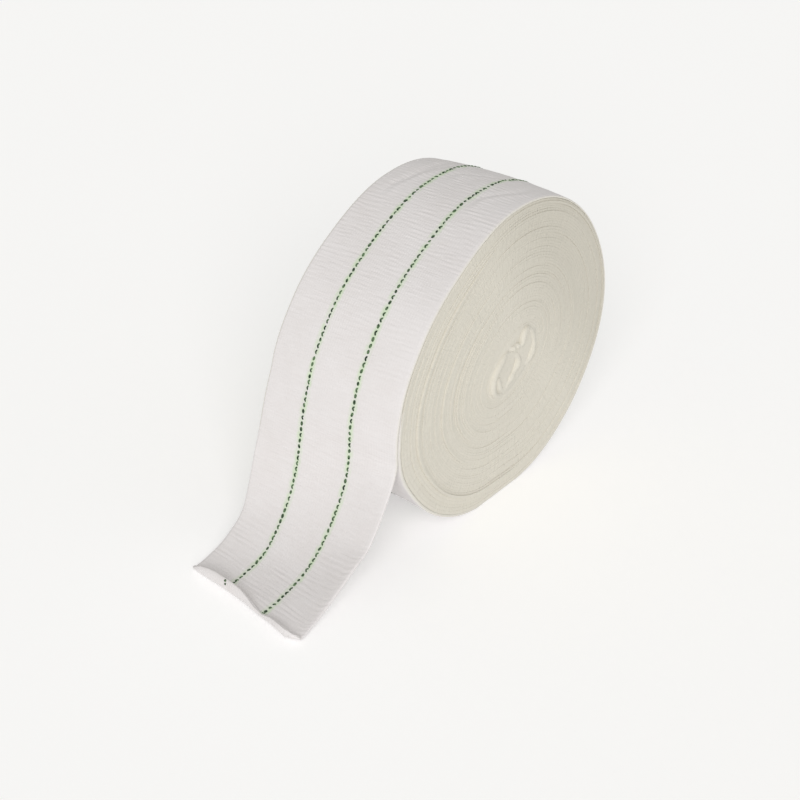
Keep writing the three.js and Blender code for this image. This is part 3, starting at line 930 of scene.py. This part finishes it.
def loose_middle(x):
    """The loose end's middle: four curves down its length, then a curve across them for each row."""
    lines = dict(
        far=-CLOTH_WIDTH / 2 + EDGE_DRIFT_X,
        first=FIRST_LINE_X,
        second=SECOND_LINE_X,
        near=CLOTH_WIDTH / 2 + EDGE_DRIFT_X,
    )
    line_x = np.array(list(lines.values()))
    led, _ = outer_turn_middle(line_x, np.array(LEAD_ANGLES) / 360)
    curves, lengths = [], []
    for index, (name, at) in enumerate(lines.items()):
        loose = [(at + LOOSE_END_DRIFT_X, *section[name]) for section in LOOSE_SECTIONS]
        if name == "near":
            loose[-1] = (loose[-1][0] + NEAR_FLARE, *loose[-1][1:])
        points = np.concatenate([led[:, index], loose])
        knots = lengths_along(points)
        leaving = knots[len(LEAD_ANGLES) - 1]
        fine = through(knots, points, np.linspace(leaving, knots[-1], LINE_POINTS))
        curves.append(fine)
        lengths.append(lengths_along(fine))
    longest = max(length[-1] for length in lengths)
    rows = int(longest / TAPE_ROW_STEP)
    shares = np.linspace(0, 1, rows + 1)[1:, None] * (1 - corner_cut(x) / lengths[0][-1])
    on_lines = np.stack([
        np.stack([np.interp(shares * length[-1], length, curve[:, axis]) for axis in range(3)], -1)
        for curve, length in zip(curves, lengths)
    ])
    loose = np.empty(shares.shape + (3,))
    for place, at in enumerate(x):
        loose[:, place] = through(line_x, on_lines[:, :, place], np.array([at]))[0]
    return clear_of_roll(loose, LOOSE_CLEARANCE + CLOTH_THICKNESS / 2)


def curl_middle(x, loose):
    """The cut end's middle, rolled up from the loose end's last row."""
    end = loose[-1]
    onward = loose[-1] - loose[-4]
    onward[:, 0] = 0
    onward /= np.linalg.norm(onward, axis=1)[:, None]
    upward = np.stack([np.zeros(len(x)), onward[:, 2], -onward[:, 1]], -1)
    at = column(CURL, "x")
    radius = through(at, column(CURL, "radius"), x)
    turn = np.radians(through(at, column(CURL, "turn"), x))
    reach = across_width(x, FOOT_REACH_FAR, FOOT_REACH_MIDDLE, FOOT_REACH_NEAR)
    lead = np.maximum(0, reach - radius * np.sin(np.minimum(turn, math.pi / 2)))
    whole = lead + radius * turn
    curl_rows = int(whole.max() / TAPE_ROW_STEP) + 1
    gone = np.linspace(0, 1, curl_rows + 1)[1:, None] * whole
    turned = np.maximum(0, gone - lead) / radius
    return (
        end
        + onward * (np.minimum(gone, lead) + radius * np.sin(turned))[..., None]
        + upward * (radius * (1 - np.cos(turned)))[..., None]
    )


def tape_middle():
    """The tape's middle surface in rows, with each row's thickness, length and angle in the roll."""
    edge = CLOTH_WIDTH / 2 - FOLD_ROUNDING
    x = np.linspace(-edge, edge, TAPE_COLUMNS)
    girth = 2 * math.pi * column(OUTLINE, "radius").mean()
    back = np.linspace(1, 0, int(girth / TAPE_ROW_STEP))
    wound, thick = outer_turn_middle(x, back)
    loose = loose_middle(x)
    curl = curl_middle(x, loose)
    middle = np.concatenate([wound, loose, curl])
    loose_rows = len(loose) + len(curl)
    thick = np.concatenate([thick, np.full(loose_rows, CLOTH_THICKNESS)])
    loose_share = np.concatenate([np.zeros(len(back)), np.arange(1, loose_rows + 1) / loose_rows])
    length = lengths_along(middle).mean(1)
    theta = np.concatenate([angle_at(back), np.full(loose_rows, math.radians(LEAVING_ANGLE))])
    return SimpleNamespace(
        x=x, points=middle, thick=thick, loose_share=loose_share, length=length, theta=theta,
    )


def ripples(length, x, row):
    """Irregular crosswise ripples of the cloth, as heights from about -1 to 1 on rows and columns."""
    random = np.random.default_rng(row["seed"])
    rough = random.normal(size=(len(length), len(x)))
    step = float(np.median(np.diff(length)))
    reach = np.arange(-9, 10) * step
    down = np.cos(2 * math.pi * reach / row["pitch"]) * np.exp(-0.5 * (reach / row["run"]) ** 2)
    wide_reach = np.arange(-10, 11) * float(np.diff(x).mean())
    across = np.exp(-0.5 * (wide_reach / row["wide"]) ** 2)
    made = np.apply_along_axis(lambda a: np.convolve(a, down, "same"), 0, rough)
    made = np.apply_along_axis(lambda a: np.convolve(a, across, "same"), 1, made)
    return made / made.std() / RIPPLE_SPREAD


def creases(theta, x):
    """Depth of the outer turn's creases at these angles, in radians, and places across."""
    degrees = np.degrees(theta)[:, None] % 360
    made = np.zeros((len(theta), len(x)))
    for crease in CREASES:
        gone = np.clip((crease["angle"] - degrees) / (crease["angle"] - crease["to_angle"]), 0, 1)
        over = np.abs(degrees - blend(crease["angle"], crease["to_angle"], gone))
        centre = blend(crease["x"], crease["to_x"], gone)
        off = (x[None, :] - centre) / crease["wide"]
        trough = np.exp(-off**2) - 0.5 * np.exp(-((off - 2) ** 2))
        made += crease["depth"] * trough * np.exp(-(over / CREASE_END_FADE) ** 2)
    return made


def grid_normals(points):
    along = np.gradient(points, axis=0)
    across = np.gradient(points, axis=1)
    normals = np.cross(along, across)
    return normals / np.linalg.norm(normals, axis=-1)[..., None]


def build_outer_tape():
    tape = tape_middle()
    x, middle = tape.x, tape.points
    normals = grid_normals(middle)
    mouth = smooth_step((tape.loose_share - MOUTH_BULGE_START) / (1 - MOUTH_BULGE_START))[:, None]
    lip = across_width(x, CLOTH_THICKNESS, LIP_THICKNESS, CLOTH_THICKNESS)[None, :]
    half = (tape.thick[:, None] + mouth * (lip - CLOTH_THICKNESS)) / 2
    loose = (tape.loose_share > 0)[:, None]
    off_top = (np.degrees(tape.theta)[:, None] % 360 - TOP_ANGLE) / TOP_SPAN
    on_top = np.where(loose, 0.0, np.exp(-(off_top**2)))
    near_end = smooth_step((tape.loose_share - NEAR_END_START) / NEAR_END_FADE)[:, None]
    relief = np.where(loose, 0.0, -creases(tape.theta, x))
    for row in RIPPLES:
        height = row["height"] + row["on_top"] * on_top + row["near_end"] * near_end
        relief += height * ripples(tape.length, x, row)

    def skin(inset):
        outer = middle + normals * (half - inset + relief)[..., None]
        under = middle - normals * (half - inset)[..., None]
        under = np.where(loose[..., None], clear_of_roll(under, LOOSE_CLEARANCE), under)
        outer[..., 2] = np.maximum(outer[..., 2], inset)
        under[..., 2] = np.maximum(under[..., 2], inset)
        return outer, under

    def rings(outer, under, inset):
        """Closed sections: the outer face, the near fold, the under face and the far fold."""
        parts, reach = [outer], FOLD_ROUNDING - inset
        under_columns = np.linspace(len(x) - 1, 0, UNDER_COLUMNS).round().astype(int)
        for side, index, other in ((1, -1, -2), (-1, 0, 1)):
            centre = (outer[:, index] + under[:, index]) / 2
            outwards = middle[:, index] - middle[:, other]
            outwards /= np.linalg.norm(outwards, axis=1)[:, None]
            rise = (outer[:, index] - under[:, index]) / 2
            fold = np.stack([
                centre + outwards * reach * math.cos(turn) + rise * math.sin(side * turn)
                for turn in np.radians(FOLD_TURNS)
            ], 1)
            parts.append(fold)
            if side == 1:
                parts.append(under[:, under_columns])
        ring = np.concatenate(parts, 1)
        ring[..., 2] = np.maximum(ring[..., 2], 0)
        return ring

    outer, under = skin(0.0)
    outside = rings(outer, under, 0.0)
    last = len(middle) - 1
    pocket = np.arange(last, last - int(MOUTH_DEPTH / TAPE_ROW_STEP), -LINING_ROWS)
    lining = rings(*skin(LAYER_THICKNESS), LAYER_THICKNESS)[pocket]
    onward = middle[-1] - middle[-2]
    onward = onward.mean(0) / np.linalg.norm(onward.mean(0))
    rim = (outside[-1] + lining[0]) / 2 + onward * RIM_ROUNDING
    points = np.concatenate([outside, rim[None], lining])
    along = np.concatenate([
        tape.length,
        tape.length[-1:] + FOLD_WRAP,
        tape.length[-1] + 2 * FOLD_WRAP + np.arange(len(pocket)) * LINING_ROWS * TAPE_ROW_STEP,
    ])
    fold_wrap = np.linspace(-FOLD_WRAP, FOLD_WRAP, len(FOLD_TURNS))
    around = np.concatenate([
        x,
        CLOTH_WIDTH / 2 + fold_wrap,
        np.linspace(CLOTH_WIDTH - x[-1], CLOTH_WIDTH - x[0], UNDER_COLUMNS),
        1.5 * CLOTH_WIDTH + fold_wrap,
        [2 * CLOTH_WIDTH + x[0]],
    ])
    made = build_mesh(
        "outer_tape",
        points.reshape(-1, 3),
        tube_faces(len(points), points.shape[1]),
        tube_uvs(along, around),
    )
    tape.outer = outer
    tape.normals = grid_normals(outer)
    return made, tape


# Green yarn: one stitch after another down both lines.


def ball(rings=5, sides=8):
    """Points of a unit ball between its poles, and its faces."""
    points = [(0, 0, 1)]
    for ring in range(1, rings):
        tilt = math.pi * ring / rings
        for side in range(sides):
            turn = 2 * math.pi * side / sides
            reach = math.sin(tilt)
            points.append((reach * math.cos(turn), reach * math.sin(turn), math.cos(tilt)))
    points.append((0, 0, -1))
    faces = []
    for side in range(sides):
        after = (side + 1) % sides
        faces.append((0, 1 + side, 1 + after))
        for ring in range(rings - 2):
            low = 1 + ring * sides
            faces.append((low + side, low + sides + side, low + sides + after, low + after))
        low = 1 + (rings - 2) * sides
        faces.append((low + side, len(points) - 1, low + after))
    return np.array(points, float), faces


def on_tape(tape, length, x):
    """A point of the tape's outer face with its normal, direction along and direction across."""
    row = float(np.interp(length, tape.length, np.arange(len(tape.length))))
    place = float(np.interp(x, tape.x, np.arange(len(tape.x))))
    r, c = min(int(row), len(tape.length) - 2), min(int(place), len(tape.x) - 2)
    a, b = row - r, place - c

    def read(grid):
        low = blend(grid[r, c], grid[r, c + 1], b)
        return blend(low, blend(grid[r + 1, c], grid[r + 1, c + 1], b), a)

    normal = read(tape.normals)
    along = tape.outer[r + 1, c] - tape.outer[r, c]
    across = np.cross(normal, along)
    across /= np.linalg.norm(across)
    along = np.cross(across, normal)
    return read(tape.outer), normal, along, across


def build_stitches(tape):
    random = np.random.default_rng(STITCH_SEED)
    unit, unit_faces = ball()
    points, faces = [], []
    leaving = tape.length[np.argmax(tape.loose_share > 0)]

    def add_ball(shape):
        faces.extend(tuple(corner + len(points) * len(unit) for corner in face) for face in unit_faces)
        points.append(shape)

    def add_stitch(length, x, turn, long, wide):
        place, normal, along, across = on_tape(tape, length, x)
        forward = along * math.cos(turn) + across * math.sin(turn)
        sideways = across * math.cos(turn) - along * math.sin(turn)
        shape = (
            place
            + unit[:, :1] * forward * long
            + unit[:, 1:2] * sideways * wide
            + unit[:, 2:] * normal * STITCH_HEIGHT
        )
        shape[:, 2] = np.maximum(shape[:, 2], 0)
        add_ball(shape)

    samples = np.linspace(0, tape.length[-1], LINE_SAMPLES)
    for line in LINES:
        length, count = LINE_START, 0
        wander = slow_noise(samples, LINE_WANDER_SPACING, LINE_WANDER_SEED + int(line["x"]))
        while length < tape.length[-1] - line["end_gap"]:
            x = line["x"] + LINE_WANDER * np.interp(length, samples, wander)
            regular = 1 - smooth_step((length - leaving + REGULAR_BEFORE_LEAVING) / REGULAR_FADE)
            chance = random.uniform(*STITCH_BOLDNESS)
            size = blend(*STITCH_SIZES, blend(chance, float(count % 2), REGULAR_SHARE * regular))
            if random.random() < SPLIT_SHARE:
                shape, turn = SPLIT_STITCH, random.uniform(*SPLIT_STITCH["turns"])
                parts = [(-1, -turn), (1, turn)]
            else:
                shape = PLAIN_STITCH
                parts = [(0, random.uniform(-shape["turn"], shape["turn"]))]
            for side, turn in parts:
                apart = side * SPLIT_STITCH["apart"] * size
                add_stitch(length + apart, x, turn, shape["long"] * size, shape["wide"] * size)
            length += STITCH_PITCH * random.uniform(*STITCH_PITCH_SPREAD)
            count += 1
    for end in YARN_ENDS:
        add_ball(np.array([end["x"], end["y"], end["z"]]) + unit * end["size"])
    return build_mesh("green_stitches", np.concatenate(points), faces)


def finish_piece(piece, material, slot_name, *replaced):
    piece.data.materials.append(material)
    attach(piece, BODY)
    if replaced:
        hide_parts(*replaced)


# The studio: a pale floor, soft light from the camera's side and an even sky.


def add_studio(towards_camera):
    material, _, shader = matte("floor", 0.9, 0.1)
    shader.inputs["Base Color"].default_value = (FLOOR_GREY, FLOOR_GREY, FLOOR_GREY, 1)
    shader.inputs["Emission Color"].default_value = (1, 1, 1, 1)
    shader.inputs["Emission Strength"].default_value = FLOOR_GLOW
    corners = [(x * FLOOR_REACH, y * FLOOR_REACH, 0) for x, y in ((-1, -1), (1, -1), (1, 1), (-1, 1))]
    floor = build_mesh("studio_floor", corners, [(0, 1, 2, 3)], smooth=False)
    floor.data.materials.append(material)
    floor.location.z = -FLOOR_DROP * MM

    world = bpy.data.worlds.new("sky")
    bpy.context.scene.world = world
    world.use_nodes = True
    sky = world.node_tree.nodes["Background"]
    sky.inputs["Color"].default_value = SKY_COLOUR
    sky.inputs["Strength"].default_value = SKY_STRENGTH

    light = bpy.data.lights.new("key", "SUN")
    light.angle = math.radians(KEY_SPREAD)
    light.energy = KEY_STRENGTH * math.pi
    light.color = KEY_COLOUR
    key = bpy.data.objects.new("key", light)
    key.location = towards_camera
    key.rotation_mode = "QUATERNION"
    key.rotation_quaternion = (-towards_camera).to_track_quat("-Z", "Y")
    bpy.context.scene.collection.objects.link(key)
    bpy.context.scene.view_settings.view_transform = "Standard"


towards_camera = add_camera()

wound_knit = cloth_material(
    "wound_knit", srgb(*WOUND_LIGHT), srgb(*WOUND_DARK), hatched=True, painted_shade=srgb(*WOUND_PAINTED_SHADE),
)
loose_knit = cloth_material(
    "loose_knit", srgb(*LOOSE_LIGHT), srgb(*LOOSE_DARK), halo=srgb(*HALO_GREEN), edge=srgb(*EDGE_TINT),
)

wound_turns = build_wound_turns()
finish_piece(wound_turns, wound_knit, "wound_knit", "wound_roll")

outer_tape, tape = build_outer_tape()
finish_piece(outer_tape, loose_knit, "loose_knit", "loose_end")

green_stitches = build_stitches(tape)
finish_piece(green_stitches, yarn_material(), "green_yarn")

add_studio(towards_camera)
